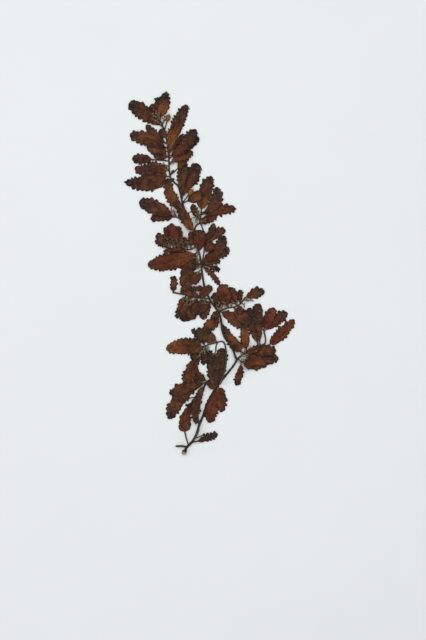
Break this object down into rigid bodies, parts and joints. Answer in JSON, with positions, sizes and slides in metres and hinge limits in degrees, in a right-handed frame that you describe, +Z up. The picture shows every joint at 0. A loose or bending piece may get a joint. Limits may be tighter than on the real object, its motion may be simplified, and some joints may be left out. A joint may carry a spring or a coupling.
{
  "type": "sargassum seaweed",
  "caption": "Dried, pressed brown seaweed lying flat: a branching stem with toothed leaves, air bladders and knobbly fruiting twigs, held on a crumb of coral.",
  "frame": {"origin": "under the holdfast's crumb of coral, on the flat facet that it stands on, at the level of the surface", "axes": "+Y up the plant from the holdfast to the top, +X to the right as seen from above, +Z up from the surface"},
  "size_m": [0.1108, 0.2349, 0.0064],
  "materials": {
    "dry_frond": "dried, dull, red-brown to black-brown",
    "coral_crumb": "chalky, rough, pale beige"
  },
  "bodies": {
    "root": {"coral_crumb": "coral_crumb", "main_stem": "dry_frond", "left_shoot": "dry_frond", "left_branch": "dry_frond", "right_branch": "dry_frond", "middle_axis": "dry_frond", "upper_axis": "dry_frond", "left_spray": "dry_frond", "right_spray": "dry_frond", "top_axis": "dry_frond"}
  },
  "joints": []
}
